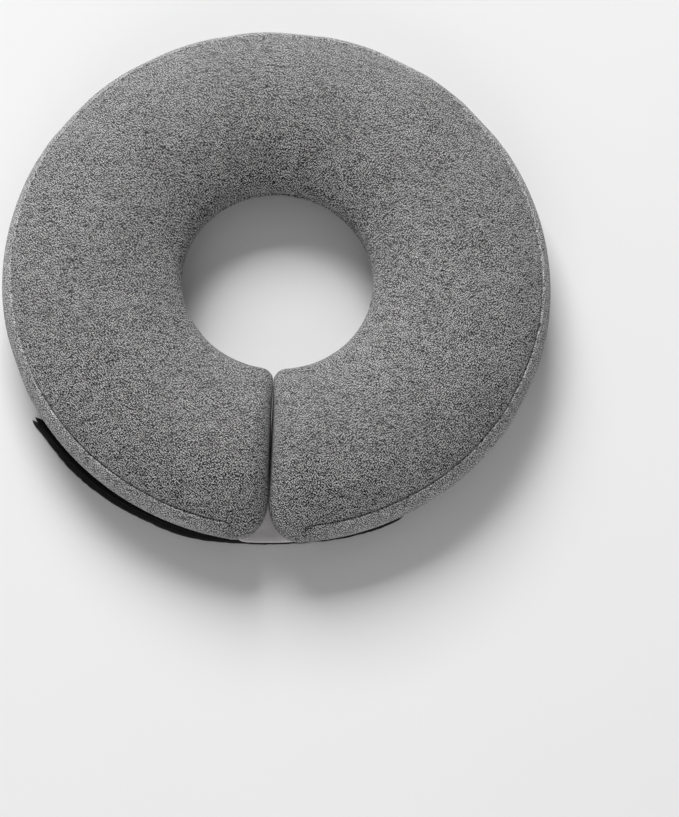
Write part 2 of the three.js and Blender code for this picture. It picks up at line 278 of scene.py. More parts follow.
class Dye:
    """One material, whose nodes are added one at a time."""

    def __init__(self, name):
        self.material = bpy.data.materials.new(name)
        self.material.use_nodes = True
        self.tree = self.material.node_tree
        self.surface = self.tree.nodes["Principled BSDF"]

    def add(self, kind, *inputs, output=0, **values):
        """Adds a node; each input is a socket to link or a value, and None leaves the default."""
        node = self.tree.nodes.new("ShaderNode" + kind)
        for key, value in values.items():
            setattr(node, key, value)
        for socket, value in zip(node.inputs, inputs):
            if isinstance(value, bpy.types.NodeSocket):
                self.tree.links.new(value, socket)
            elif value is not None:
                socket.default_value = value
        return node.outputs[output]

    def maths(self, operation, *inputs):
        return self.add("Math", *inputs, operation=operation)

    def plus(self, *inputs):
        return self.maths("ADD", *inputs)

    def times(self, *inputs):
        return self.maths("MULTIPLY", *inputs)

    def wave(self, value, period):
        return self.maths("SINE", self.times(value, math.tau / period))

    def sway(self, place, scale, width):
        """Noise that swings to both sides over a width."""
        return self.times(self.maths("SUBTRACT", self.noise(place, scale, 1), 0.5), width)

    def noise(self, place, scale, detail=2.0, roughness=0.5):
        return self.add("TexNoise", place, None, scale, detail, roughness)

    def spread(self, value, low, high, floor=0.0, ceiling=1.0):
        return self.add("MapRange", value, low, high, floor, ceiling)

    def blend(self, share, first, second):
        node = self.tree.nodes.new("ShaderNodeMix")
        node.data_type = "RGBA"
        for name, value in (("Factor_Float", share), ("A_Color", first), ("B_Color", second)):
            socket = next(s for s in node.inputs if s.identifier == name)
            if isinstance(value, bpy.types.NodeSocket):
                self.tree.links.new(value, socket)
            else:
                socket.default_value = value
        return next(s for s in node.outputs if s.identifier == "Result_Color")

    def bump(self, height, strength, distance):
        node = self.tree.nodes.new("ShaderNodeBump")
        node.inputs["Strength"].default_value = strength
        node.inputs["Distance"].default_value = distance
        self.tree.links.new(height, node.inputs["Height"])
        self.tree.links.new(node.outputs["Normal"], self.surface.inputs["Normal"])

    def paint(self, colour):
        self.tree.links.new(colour, self.surface.inputs["Base Color"])

    def roughen(self, roughness):
        self.tree.links.new(roughness, self.surface.inputs["Roughness"])

    def gloss(self, roughness, specular, sheen=0.0):
        self.surface.inputs["Roughness"].default_value = roughness
        self.surface.inputs["Specular IOR Level"].default_value = specular
        self.surface.inputs["Sheen Weight"].default_value = sheen
        self.surface.inputs["Sheen Roughness"].default_value = 0.6


def shade(colour, times, plus=0):
    """A paler or darker kind of a colour."""
    return [channel * times + plus for channel in colour[:3]] + [1]


def stitch_tone(dye, across, course, step=0, row=0, run=WALE):
    """How light the bit of yarn is that lies some steps and rows away from a place on the cloth."""
    line = dye.plus(course, row)
    place = dye.plus(dye.maths("DIVIDE", across, run), dye.times(line, ROW_SHIFT))
    stitch = dye.add("CombineXYZ", dye.plus(dye.maths("FLOOR", place), step), line, 0)
    return dye.add("TexWhiteNoise", stitch, noise_dimensions="2D")


def heather_cloth(name, dark, light, dash, fleck_share, ends=None):
    """Brushed heather knit: each stitch takes a lighter or darker bit of yarn, and some bits run on
    as short dashes in wavering courses, on the cloth's own map. It can change to the colours in
    ends near the slit, with painted highlight spots along its first seam, standing in for light
    caught by the raised seam edge."""
    dye = Dye(name)
    grain = dye.add("UVMap", uv_map=CLOTH_MAP)
    across = dye.add("SeparateXYZ", grain, output=0)
    along = dye.add("SeparateXYZ", grain, output=1)
    waver = dye.sway(grain, 60, 3 * MM)
    jitter = dye.sway(grain, 500, 0.4 * MM)
    height = dye.plus(along, dye.plus(waver, jitter))
    course = dye.maths("FLOOR", dye.maths("DIVIDE", height, COURSE))
    flecks = dye.plus(stitch_tone(dye, across, course), sum(SHARPENING.values()) / 2)
    for (step, row), weight in SHARPENING.items():
        beside = stitch_tone(dye, across, course, step, row)
        flecks = dye.maths("SUBTRACT", flecks, dye.times(beside, weight))
    dashes = stitch_tone(dye, across, course, run=dash)
    fuzz = dye.spread(dye.noise(grain, 1500, 2, 0.7), 0.3, 0.7)
    patches = dye.spread(dye.noise(grain, 28, 2), 0.25, 0.75)
    tone = dye.times(flecks, fleck_share)
    for grains, share in ((dashes, 0.86 - fleck_share), (fuzz, 0.1), (patches, 0.04)):
        tone = dye.plus(tone, dye.times(grains, share))
    if ends:
        half_round = math.pi * OUTER_RADIUS
        middle = dye.maths("ABSOLUTE", dye.maths("SUBTRACT", across, half_round))
        fade = dye.spread(middle, half_round - FADE_START, half_round - FADE_END)
        dark = dye.blend(fade, dark, ends[0])
        light = dye.blend(fade, light, ends[1])
        # Painted highlight: pale spots about a millimetre from the first seam, standing in for
        # light caught by the raised seam edge
        seam = dye.spread(along, 0.6 * MM, 1.3 * MM, 0.2, 0)
        painted_highlight_spots = dye.spread(dye.noise(grain, 420, 1), 0.45, 0.6)
        tone = dye.plus(tone, dye.times(seam, painted_highlight_spots))
    dye.paint(dye.blend(dye.spread(tone, 0.42, 0.8), dark, light))
    ribs = dye.times(dye.wave(height, COURSE), 0.25)
    wales = dye.times(dye.wave(across, WALE), 0.2)
    dye.bump(dye.plus(dye.plus(ribs, wales), dye.plus(flecks, fuzz)), 0.5, 0.14 * MM)
    dye.roughen(dye.spread(fuzz, 0, 1, 0.86, 0.98))
    dye.gloss(0.92, specular=0.15, sheen=0.12)
    return dye.material


def pile_cloth(name, colour, loop, depth, pitch):
    """Matted hook-and-loop pile: tangled fibres with dusty tips, in rows of a pitch."""
    dye = Dye(name)
    place = dye.add("TexCoord", output=3)
    tangle = dye.noise(place, 1 / loop, 3, 0.7)
    mat = dye.noise(place, 130, 3, 0.6)
    rows = [dye.wave(dye.add("SeparateXYZ", place, output=axis), pitch) for axis in (0, 1)]
    tufts = dye.times(*rows)
    fibres = dye.times(dye.spread(tangle, 0.42, 0.72), dye.spread(mat, 0.3, 0.75, 0.45, 1))
    fibres = dye.times(fibres, dye.spread(tufts, -0.6, 0.6, 0.25, 1))
    dye.paint(dye.blend(fibres, colour, shade(colour, 3, 0.012)))
    height = dye.plus(tangle, dye.times(mat, 0.6))
    dye.bump(dye.plus(height, dye.times(tufts, 0.5)), 0.9, depth)
    dye.roughen(dye.spread(mat, 0.3, 0.7, 0.82, 0.97))
    dye.gloss(0.9, specular=0.1, sheen=0.04)
    return dye.material


def binding_tape(name, colour):
    """Woven tape: fine ribs across its length, worn a little paler in places."""
    dye = Dye(name)
    grain = dye.add("UVMap", uv_map=CLOTH_MAP)
    rib = dye.wave(dye.add("SeparateXYZ", grain, output=0), 0.7 * MM)
    yarn = dye.wave(dye.add("SeparateXYZ", grain, output=1), 0.45 * MM)
    wear = dye.noise(grain, 240, 3, 0.6)
    tone = dye.plus(dye.times(rib, 0.2), dye.times(yarn, 0.12))
    tone = dye.plus(tone, dye.spread(wear, 0.3, 0.7))
    dye.paint(dye.blend(dye.spread(tone, 0.1, 1.3), colour, shade(colour, 3, 0.008)))
    dye.bump(tone, 0.6, 0.15 * MM)
    dye.roughen(dye.spread(wear, 0.3, 0.7, 0.62, 0.8))
    dye.gloss(0.7, specular=0.25, sheen=0.05)
    return dye.material


def facing_cloth(name, colour):
    """Smooth brushed facing with a faint nap."""
    dye = Dye(name)
    place = dye.add("TexCoord", output=3)
    nap = dye.noise(place, 1500, 3, 0.7)
    cloud = dye.noise(place, 90, 2, 0.5)
    tone = dye.plus(dye.times(nap, 0.5), dye.times(cloud, 0.5))
    dye.paint(dye.blend(dye.spread(tone, 0.35, 0.65), shade(colour, 0.72), colour))
    dye.bump(nap, 0.4, 0.12 * MM)
    dye.roughen(dye.spread(cloud, 0.3, 0.7, 0.8, 0.95))
    dye.gloss(0.9, specular=0.2, sheen=0.2)
    return dye.material


def thread(name, colour):
    """Twisted sewing thread."""
    dye = Dye(name)
    twist = dye.noise(dye.add("TexCoord", output=3), 2600, 2, 0.6)
    dye.paint(dye.blend(dye.spread(twist, 0.35, 0.65), colour, shade(colour, 2.4, 0.02)))
    dye.bump(twist, 0.4, 0.08 * MM)
    dye.gloss(0.55, specular=0.4, sheen=0.1)
    return dye.material


def valve_plastic(name, colour):
    """Soft frosted plastic with fine mould texture and handling haze."""
    dye = Dye(name)
    place = dye.add("TexCoord", output=3)
    frost = dye.noise(place, 1800, 2, 0.6)
    haze = dye.noise(place, 160, 3, 0.6)
    dye.paint(dye.blend(dye.spread(haze, 0.3, 0.7), colour, shade(colour, 0.78)))
    dye.bump(frost, 0.25, 0.06 * MM)
    dye.roughen(dye.spread(haze, 0.3, 0.7, 0.28, 0.46))
    dye.gloss(0.35, specular=0.5)
    return dye.material


# The padded ring

def circle_through(run, drop):
    """Radius and half angle of an arc that is level in its middle and falls by drop over run."""
    radius = (run * run + drop * drop) / (2 * drop)
    return radius, math.atan2(run, radius - drop)


def spin_arc(bm, vertex, centre, turn, steps):
    """Draws an arc from a vertex about +Y, and returns its further vertices."""
    drawn = []
    for _ in range(steps):
        vertex = bmesh.ops.extrude_vert_indiv(bm, verts=[vertex])["verts"][0]
        step = Matrix.Rotation(turn / steps, 3, "Y")
        bmesh.ops.rotate(bm, verts=[vertex], cent=centre, matrix=step)
        drawn.append(vertex)
    return drawn


def rim_seams(form):
    """The section columns of the rim's front and back seams."""
    front = form.edge_cells // 2 + form.face_cells
    return front, front + form.edge_cells


def draw_section(bm, form):
    """The ring's closed section in the XZ plane: from the middle of the neck edge over the front,
    the rim and the back. Returns its vertices, and how far each lies from the front's crown along
    the cloth."""
    face_radius, face_half = circle_through(
        HALF_WIDTH - form.edge_bulge, MID_HEIGHT - form.gusset_width / 2)
    edge_radius, edge_half = circle_through(form.gusset_width / 2, form.edge_bulge)
    front_centre = (MID_RADIUS, 0, THICKNESS - face_radius)
    back_centre = (MID_RADIUS, 0, face_radius)
    rim_centre = (OUTER_RADIUS - edge_radius, 0, MID_HEIGHT)
    neck_centre = (NECK_RADIUS + edge_radius, 0, MID_HEIGHT)
    half_cells = form.edge_cells // 2
    row = [bm.verts.new((NECK_RADIUS, 0, MID_HEIGHT))]
    row += spin_arc(bm, row[-1], neck_centre, edge_half, half_cells)
    row += spin_arc(bm, row[-1], front_centre, 2 * face_half, form.face_cells)
    row += spin_arc(bm, row[-1], rim_centre, 2 * edge_half, form.edge_cells)
    row += spin_arc(bm, row[-1], back_centre, 2 * face_half, form.face_cells)
    row += spin_arc(bm, row[-1], neck_centre, edge_half, half_cells)
    last = row.pop()
    bmesh.ops.pointmerge(bm, verts=[row[0], last], merge_co=row[0].co)
    face_step = 2 * face_half * face_radius / form.face_cells
    edge_step = 2 * edge_half * edge_radius / form.edge_cells
    lay = [-face_step * form.face_cells / 2 - edge_step * half_cells]
    front_seam, back_seam = rim_seams(form)
    for column in range(1, len(row)):
        on_front = half_cells < column <= front_seam
        on_back = back_seam < column <= back_seam + form.face_cells
        lay.append(lay[-1] + (face_step if on_front or on_back else edge_step))
    return row, lay


def panel_of_cell(column, at_end, form):
    """Which panel the cell that follows a section column is cut from."""
    front_seam, back_seam = rim_seams(form)
    if column < front_seam:
        return FRONT
    if column < back_seam:
        return FRONT if at_end else RIM
    return BACK


def drawn_in(section, angle, inset, form):
    """A point of the section at an angle, drawn in by the end's rounding."""
    run = section.x - MID_RADIUS
    radial_inset = form.end_rim_inset if run > 0 else form.end_neck_inset
    radius = MID_RADIUS + run * (1 - radial_inset * inset / HALF_WIDTH)
    rise = (section.z - MID_HEIGHT) * (1 - form.end_face_inset * inset / MID_HEIGHT)
    return ring_point(radius, angle, MID_HEIGHT + rise)


def end_steps(form):
    """Angle and inset of each ring of vertices from the last full section to the slit."""
    slit = math.degrees(form.slit_width / 2 / MID_RADIUS)
    rounding = math.degrees(form.end_run / OUTER_RADIUS)
    steps = []
    for cell in range(form.end_cells + 1):
        turn = math.pi / 2 * cell / form.end_cells
        steps.append((slit + rounding * (1 - math.sin(turn)), 1 - math.cos(turn)))
    return steps


def round_end(bm, side, sections, layers, form):
    """Draws one end of the tube in to the slit and closes it with a flat face."""
    column, drop, panel = layers
    edges = [e for e in open_edges(bm) if e.verts[0].co.x * side > 0]
    steps = end_steps(form)
    for angle, inset in steps:
        slit_share = steps[-1][0] / angle
        grown = bmesh.ops.extrude_edge_only(bm, edges=edges)["geom"]
        edges = [e for e in grown if isinstance(e, bmesh.types.BMEdge) and e.is_boundary]
        for vertex in {v for e in edges for v in e.verts}:
            before = vertex.co.copy()
            section = sections[vertex[column]]
            vertex.co = drawn_in(section, side * angle, inset, form)
            mouth = smooth_step(MID_HEIGHT, MID_HEIGHT + MOUTH_RISE, vertex.co.z)
            mouth *= smooth_step(MOUTH_FROM, MOUTH_FULL, section.x - NECK_RADIUS)
            gap = form.slit_touch + (form.slit_mouth - form.slit_touch) * mouth
            vertex.co.x -= (vertex.co.x * slit_share - side * gap / 2) * inset
            moved = vertex.co - before
            vertex[drop] += moved.length - math.hypot(moved.x, moved.y)
    half = len(sections) // 2
    rows = [e for low, high in ((2, half - 2), (half + 2, 2 * half - 2)) for e in edges
            if all(low <= v[column] <= high for v in e.verts)]
    known = set(bm.verts)
    for face in bmesh.ops.grid_fill(bm, edges=rows, use_interp_simple=True)["faces"]:
        face[panel] = SLIT_FACE
    for vertex in bm.verts:
        if vertex not in known:
            vertex[column] = -1


def press_heights():
    """The top of the plies under the ring at each whole degree, with a ramp past their ends."""
    heights = {}
    spans = []
    for node in PLIES:
        angles = [ring_angle(v.co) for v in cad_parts[node].data.vertices]
        spans.append((min(angles) - LEDGE, max(angles) + LEDGE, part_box(node)[1].z + 0.3 * MM))
    for angle in range(-180, 181):
        past = [(max(low - angle, angle - high, 0), top) for low, high, top in spans]
        heights[angle] = max(top * (1 - smooth_step(0, RAMP, gap)) for gap, top in past)
    return heights


def press(heights, angle):
    """The height of the plies at any angle."""
    low = math.floor(angle)
    share = angle - low
    return heights[low] * (1 - share) + heights[min(low + 1, 180)] * share


def mark_panels(bm, column, panel, form):
    """Marks each face with the panel it is cut from."""
    end = end_steps(form)[0][0] + 0.01 + math.degrees(form.end_wrap / OUTER_RADIUS)
    for face in bm.faces:
        if face[panel] == SLIT_FACE:
            continue
        columns = {v[column] for v in face.verts}
        cell = max(columns) if 0 in columns and max(columns) > 1 else min(columns)
        at_end = abs(ring_angle(face.calc_center_median())) < end
        face[panel] = panel_of_cell(cell, at_end, form)


def map_cloth(bm, layers, sections, lay, form):
    """Lays the cloth's grain on each panel: courses run across the whole ring in a low arch on the
    front and back, and round the rim on the gusset."""
    column, drop, panel = layers
    grain = bm.loops.layers.uv.new(CLOTH_MAP)
    rim_start = lay[rim_seams(form)[0]]
    for face in bm.faces:
        kind = face[panel]
        for loop in face.loops:
            vertex = loop.vert
            place = vertex.co
            side = math.copysign(1, place.x)
            if kind == SLIT_FACE:
                loop[grain].uv = (side * (place.z - 60 * MM), place.y)
                continue
            cell = vertex[column]
            if kind == RIM:
                turn = math.radians(ring_angle(place) % 360)
                loop[grain].uv = (turn * OUTER_RADIUS, lay[cell] - rim_start)
                continue
            reach = lay[-cell] if kind == BACK else lay[cell]
            stretch = (MID_RADIUS + reach) / sections[cell].x
            arch = ARCH_SLOPE * math.hypot(place.x, ARCH_ROUNDING)
            loop[grain].uv = (place.x * stretch - side * vertex[drop], (place.y + arch) * stretch)
        if kind == SLIT_FACE:
            face[panel] = FRONT


def build_cover(form):
    """The whole cover as one closed skin, at the CAD's size. Returns it with its layer of section
    columns and the heights of the plies under it."""
    bm = bmesh.new()
    column = bm.verts.layers.int.new("column")
    drop = bm.verts.layers.float.new("drop")
    panel = bm.faces.layers.int.new("panel")
    layers = (column, drop, panel)
    row, lay = draw_section(bm, form)
    for index, vertex in enumerate(row):
        vertex[column] = index
    sections = [vertex.co.copy() for vertex in row]
    start = end_steps(form)[0][0] + math.degrees(form.end_wrap / OUTER_RADIUS)
    bmesh.ops.rotate(bm, verts=bm.verts[:], cent=(0, 0, 0), matrix=level_turn(start - 90))
    spin_level(bm, 360 - 2 * start, form.ring_cells)
    for side in (-1, 1):
        round_end(bm, side, sections, layers, form)
    face_out(bm)
    mark_panels(bm, column, panel, form)
    map_cloth(bm, layers, sections, lay, form)
    heights = press_heights()
    for vertex in bm.verts:
        vertex.co.z = max(vertex.co.z, press(heights, ring_angle(vertex.co)))
    return bm, column, heights


def fill_with_air(bm, column, form, cloth):
    """Runs the closed cover through a cloth simulation under air pressure, with its rim seams
    gathered, and returns how far each vertex moves."""
    scene = bpy.context.scene
    filling = add_object("cover_filling", mesh_of(bm, "cover_filling"))
    gathers = filling.vertex_groups.new(name="gathers")
    bm.verts.ensure_lookup_table()
    for vertex in bm.verts:
        near = min(abs(vertex[column] - seam) for seam in rim_seams(form))
        if near < len(GATHER):
            gathers.add([vertex.index], GATHER[near], "REPLACE")
    modifier = filling.modifiers.new("Cloth", "CLOTH")
    fabric = modifier.settings
    fabric.quality = 5
    fabric.mass = 0.3
    fabric.use_pressure = True
    fabric.uniform_pressure_force = cloth.pressure
    fabric.effector_weights.gravity = 0
    fabric.vertex_group_shrink = "gathers"
    fabric.shrink_min = 0
    fabric.shrink_max = cloth.seam_gather
    modifier.point_cache.frame_start = 1
    modifier.point_cache.frame_end = AIR_FRAMES
    for step in range(1, AIR_FRAMES + 1):
        scene.frame_set(step)
    graph = bpy.context.evaluated_depsgraph_get()
    filled = filling.evaluated_get(graph).data
    moves = [filled.vertices[v.index].co - v.co for v in bm.verts]
    bpy.data.objects.remove(filling)
    scene.frame_set(1)
    return moves


def wrinkle(bm, column, moves, cloth):
    """Moves the cover by the simulation's wrinkles alone: its wide swelling is taken off."""
    rows = {}
    for vertex in bm.verts:
        if vertex[column] >= 0:
            rows.setdefault(vertex[column], []).append(vertex)
    steps = {}
    for row in rows.values():
        row.sort(key=lambda v: ring_angle(v.co) % 360)
        turned = [level_turn(-ring_angle(v.co)) @ moves[v.index] for v in row]
        sums = [Vector()]
        for move in turned:
            sums.append(sums[-1] + move)
        for place, vertex in enumerate(row):
            low = max(place - SWELL_REACH, 0)
            high = min(place + SWELL_REACH + 1, len(row))
            mean = (sums[high] - sums[low]) / (high - low)
            angle = ring_angle(vertex.co)
            step = level_turn(angle) @ (turned[place] - mean)
            step *= cloth.deepest_wrinkle / (cloth.deepest_wrinkle + step.length)
            steps[vertex] = step * smooth_step(8, 18, abs(angle))
    for vertex, step in steps.items():
        vertex.co += step


def pucker_seams(bm, column, form, cloth):
    """Small folds that run away from the rim seams and the neck seam, deepest at the seam."""
    front, back = rim_seams(form)
    seam_cells = ((front, 3.3 * MM), (back, 3.3 * MM), (0, 2.9 * MM))
    columns = 2 * (form.face_cells + form.edge_cells)
    bm.normal_update()
    shifts = {}
    for vertex in bm.verts:
        angle = ring_angle(vertex.co)
        depth = 0
        for number, (seam, cell) in enumerate(seam_cells):
            away = abs(vertex[column] - seam)
            if seam == 0:
                away = min(away, abs(vertex[column] - columns))
            if vertex[column] < 0 or away > 5:
                continue
            run = math.radians(angle) * from_axis(vertex.co)
            fold = noise.noise(Vector((run / (6 * MM), number * 9.7, 0)))
            fold += 0.5 * noise.noise(Vector((run / (2.8 * MM), number * 9.7, 4)))
            depth += (fold - 0.4) * math.exp(-away * cell / (5 * MM))
        shifts[vertex] = vertex.normal * depth * cloth.pucker * smooth_step(2, 8, abs(angle))
    for vertex, shift in shifts.items():
        vertex.co += shift


def seam_openness(place, cell, form):
    """How open a seam lies: the long seams fully, the gusset's short ends hardly at all, but for a
    tick at the top of the end on the +X side."""
    front, back = rim_seams(form)
    at_end = abs(ring_angle(place)) < end_steps(form)[0][0] + 1.5
    if not (front < cell < back and at_end):
        return 1.0
    if place.x < 0:
        return CLOSED_SEAM
    return max(0.8 - 0.6 * (cell - front - 1), CLOSED_SEAM)


def cut_panel(cover, panel, cloth):
    """One panel of the cover, its edges rolled over and turned in at the seams."""
    bm = cover.copy()
    mark = bm.faces.layers.int["panel"]
    lie = bm.verts.layers.float_vector["lie"]
    ditch = bm.verts.layers.float["ditch"]
    bmesh.ops.delete(bm, geom=[f for f in bm.faces if f[mark] != panel], context="FACES")
    bmesh.ops.inset_region(
        bm, faces=bm.faces[:], thickness=cloth.seam_band, depth=0, use_boundary=True,
        use_even_offset=True, use_interpolate=True)
    crease = bm.edges.layers.float.new("crease_edge")
    edges = open_edges(bm)
    inward = {}
    for vertex in {v for e in edges for v in e.verts}:
        within = [e.other_vert(vertex) for e in vertex.link_edges if not e.is_boundary]
        towards = sum((v.co - vertex.co for v in within), Vector())
        normal = vertex[lie]
        towards -= normal * towards.dot(normal)
        inward[vertex] = towards.normalized() if towards.length > 1e-6 else Vector()
    for vertex, towards in inward.items():
        openness = vertex[ditch] * (1 + 0.9 * noise.noise(vertex.co / (2.6 * MM)))
        vertex.co += (towards * 0.14 * MM - vertex[lie] * 0.3 * MM) * openness
    for edge in edges:
        edge[crease] = max(0, 1 - min(v[ditch] for v in edge.verts) * 1.5)
    grown = bmesh.ops.extrude_edge_only(bm, edges=edges)["geom"]
    for vertex in (item for item in grown if isinstance(item, bmesh.types.BMVert)):
        beside = [e.other_vert(vertex) for e in vertex.link_edges]
        base = next(v for v in beside if v in inward)
        vertex.co = base.co - vertex[lie] * cloth.seam_depth + inward[base] * 0.2 * MM
    return bm


# The flap, its facing and the loop strip

def ply_outline(node):
    """The inner radius of a ply in the CAD, its outer edge as angles and radii, and its heights."""
    places = [v.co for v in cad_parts[node].data.vertices]
    inner = min(from_axis(p) for p in places)
    rim = sorted({(round(ring_angle(p), 3), round(from_axis(p), 6))
                  for p in places if from_axis(p) > inner + 20 * MM})
    low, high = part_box(node)
    return inner, rim, low.z, high.z


def rim_radius(rim, angle):
    """The outer edge's radius at an angle."""
    for (low, first), (high, last) in zip(rim, rim[1:]):
        if low <= angle <= high:
            return first + (last - first) * (angle - low) / max(high - low, 1e-9)
    return rim[0][1] if angle < rim[0][0] else rim[-1][1]


def edge_drift(angle):
    """How far the flap's soft edge lies outside its cut: out beside the gap, in at its +X end."""
    return 0.8 * MM * math.exp(-((angle + 18) / 6) ** 2) - 0.5 * MM * smooth_step(14, 24, angle)


def spin_ply(rim, inner, edge_inset, rows, cells):
    """A flat ply as a grid: a radial line spun from end to end and stretched to the edge."""
    low, high = rim[0][0], rim[-1][0]
    bm = bmesh.new()
    nominal = rim_radius(rim, 0)
    vertex = bm.verts.new(ring_point(inner, low, 0))
    ray = ring_point(1, low, 0)
    for _ in range(rows):
        vertex = bmesh.ops.extrude_vert_indiv(bm, verts=[vertex])["verts"][0]
        bmesh.ops.translate(bm, verts=[vertex], vec=ray * (nominal - inner) / rows)
    spin_level(bm, high - low, cells)
    for vertex in bm.verts:
        angle = ring_angle(vertex.co)
        share = (from_axis(vertex.co) - inner) / (nominal - inner)
        edge = rim_radius(rim, angle) - edge_inset
        vertex.co = ring_point(inner + share * (edge - inner), angle, 0)
    return bm


def thicken_ply(bm, bottom, top, rounding):
    """Gives a flat grid its thickness and rounds its cut edges."""
    bmesh.ops.translate(bm, verts=bm.verts[:], vec=(0, 0, bottom))
    grown = bmesh.ops.extrude_face_region(bm, geom=bm.faces[:], use_keep_orig=True)["geom"]
    raised = [item for item in grown if isinstance(item, bmesh.types.BMVert)]
    bmesh.ops.translate(bm, verts=raised, vec=(0, 0, top - bottom))
    face_out(bm)
    sharp = [e for e in bm.edges if e.calc_face_angle(0) > 1]
    bmesh.ops.bevel(
        bm, geom=sharp, offset=rounding, segments=2, profile=0.5, affect="EDGES", material=-1)


def map_ply(bm, rim):
    """Lays a ply's grain along its outer edge."""
    grain = bm.loops.layers.uv.new(CLOTH_MAP)
    for face in bm.faces:
        for loop in face.loops:
            place = loop.vert.co
            angle = ring_angle(place)
            away = rim_radius(rim, angle) - from_axis(place)
            loop[grain].uv = (math.radians(angle) * OUTER_RADIUS, away + place.z)


def taper_tip(bm, rim, heights, drop, flare, reach, slant, lift=0, cut=2 * MM):
    """Shapes a ply's free tip: thinner by lift below and by drop above, its outer corner turned out
    by flare, its end moved on by reach and cut back by slant inside a width of cut."""
    bottom, top = heights
    for vertex in bm.verts:
        angle = ring_angle(vertex.co)
        share = smooth_step(TIP_START, TIP_FULL, -angle)
        away = rim_radius(rim, angle) - from_axis(vertex.co)
        shift = share * (slant * min(max(away / cut, 0), 1) - reach)
        turn = Matrix.Rotation(shift / OUTER_RADIUS, 3, "Z")
        vertex.co = turn @ vertex.co
        height = (vertex.co.z - bottom) / (top - bottom)
        outer = 1 - smooth_step(0, 55 * MM, away)
        vertex.co += outward(vertex.co) * share * share * outer * flare
        vertex.co.z += share * (lift * (1 - height) - drop * height)


def fray(bm, depth, length):
    """A fine unevenness of the cut edges."""
    for vertex in bm.verts:
        vertex.co += outward(vertex.co) * noise.noise(vertex.co / length) * depth


def trim_ply(bm, rim, heights, tip, depth, length):
    """Shapes a ply's tip, frays its edges and lays its grain."""
    taper_tip(bm, rim, heights, **tip)
    fray(bm, depth, length)
    map_ply(bm, rim)


def spin_tape(rim, bottom, top):
    """The binding: a flattened loop of tape spun along the flap's outer edge."""
    low, high = rim[0][0], rim[-1][0]
    bm = bmesh.new()
    loop = bmesh.ops.create_circle(bm, cap_ends=False, radius=1, segments=20)["verts"]
    for vertex in loop:
        run, rise = vertex.co.x, vertex.co.y
        vertex.co.x = math.copysign(abs(run) ** 0.35, run) * TAPE_WIDTH / 2
        vertex.co.y = math.copysign(abs(rise) ** 0.6, rise) * ((top - bottom) / 2)
    nominal = rim_radius(rim, 0) - TAPE_WIDTH / 2
    place = Matrix.Translation((nominal, 0, (bottom + top) / 2))
    bmesh.ops.transform(bm, verts=loop, matrix=place @ UPRIGHT)
    bmesh.ops.rotate(bm, verts=loop, cent=(0, 0, 0), matrix=level_turn(low - 90))
    spin_level(bm, high - low, 110)
    fill_ends(bm)
    for vertex in bm.verts:
        angle = ring_angle(vertex.co)
        shift = from_axis(vertex.co) - nominal
        radius = rim_radius(rim, angle) - TAPE_WIDTH / 2 + shift
        vertex.co = ring_point(radius, angle, vertex.co.z)
    face_out(bm)
    return bm


def stitch_shape(bm, length, thickness):
    """One stitch: a low arch of thread along X."""
    place = Matrix.Translation((-length / 2, 0, 0)) @ UPRIGHT
    ring = bmesh.ops.create_circle(
        bm, cap_ends=False, radius=thickness / 2, segments=6, matrix=place)["verts"]
    edges = list({e for v in ring for e in v.link_edges})
    bmesh.ops.spin(
        bm, geom=ring + edges, cent=(0, 0, 0), axis=(0, 1, 0), angle=math.pi, steps=6)
    fill_ends(bm)
    bmesh.ops.scale(bm, verts=bm.verts[:], vec=(1, 1, thickness / length * 1.1))
    face_out(bm)


def stitch_places(rim, height):
    """Where the stitches of a row along an outer edge lie, and the direction of their thread."""
    places = []
    angle = rim[0][0] + 1
    while angle < rim[-1][0] - 1:
        radius = rim_radius(rim, angle) - STITCH_INSET
        here = ring_point(radius, angle, height)
        ahead = ring_point(rim_radius(rim, angle + 0.5) - STITCH_INSET, angle + 0.5, height)
        places.append((here, ahead - here))
        angle += math.degrees(STITCH_PITCH / radius)
    return places


def sew_under(bm, places):
    """Sews a row of stitches on the underside, at places as stitch_places gives them."""
    template = bmesh.new()
    stitch_shape(template, STITCH_LENGTH, THREAD_THICKNESS)
    data = mesh_of(template, "stitch")
    template.free()
    for point, direction in places:
        known = len(bm.verts)
        bm.from_mesh(data)
        bm.verts.ensure_lookup_table()
        fresh = bm.verts[known:]
        for turn, axis in ((math.pi, "X"), (math.atan2(direction.y, direction.x), "Z")):
            bmesh.ops.rotate(
                bm, verts=fresh, cent=(0, 0, 0), matrix=Matrix.Rotation(turn, 3, axis))
        bmesh.ops.translate(bm, verts=fresh, vec=point)
    bpy.data.meshes.remove(data)


# The air valve

def turn_valve():
    """The valve's flange, stem and cap as one turned body, upright at the origin."""
    bm = bmesh.new()
    last = bm.verts.new((VALVE_OUTLINE[0][0] * MM, 0, VALVE_OUTLINE[0][1] * MM))
    for radius, height in VALVE_OUTLINE[1:]:
        last = bmesh.ops.extrude_vert_indiv(bm, verts=[last])["verts"][0]
        last.co = (radius * MM, 0, height * MM)
    spin_level(bm, 360, 48, whole=True)
    fill_ends(bm)
    face_out(bm)
    return bm


def place_valve(bm):
    """Stands the valve on the back, along the axis its CAD node has."""
    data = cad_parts["air_valve"].data
    places = [v.co for v in data.vertices]
    flange = max(data.polygons, key=lambda p: -p.normal.z * 1000 + p.center.z)
    axis = Vector(flange.normal)
    base = min(places, key=lambda p: p.dot(axis)).dot(axis)
    middle = sum(places, Vector()) / len(places)
    middle += axis * (base - middle.dot(axis))
    turn = Vector((0, 0, 1)).rotation_difference(axis).to_matrix().to_4x4()
    bmesh.ops.transform(bm, verts=bm.verts[:], matrix=Matrix.Translation(middle) @ turn)


# The operators

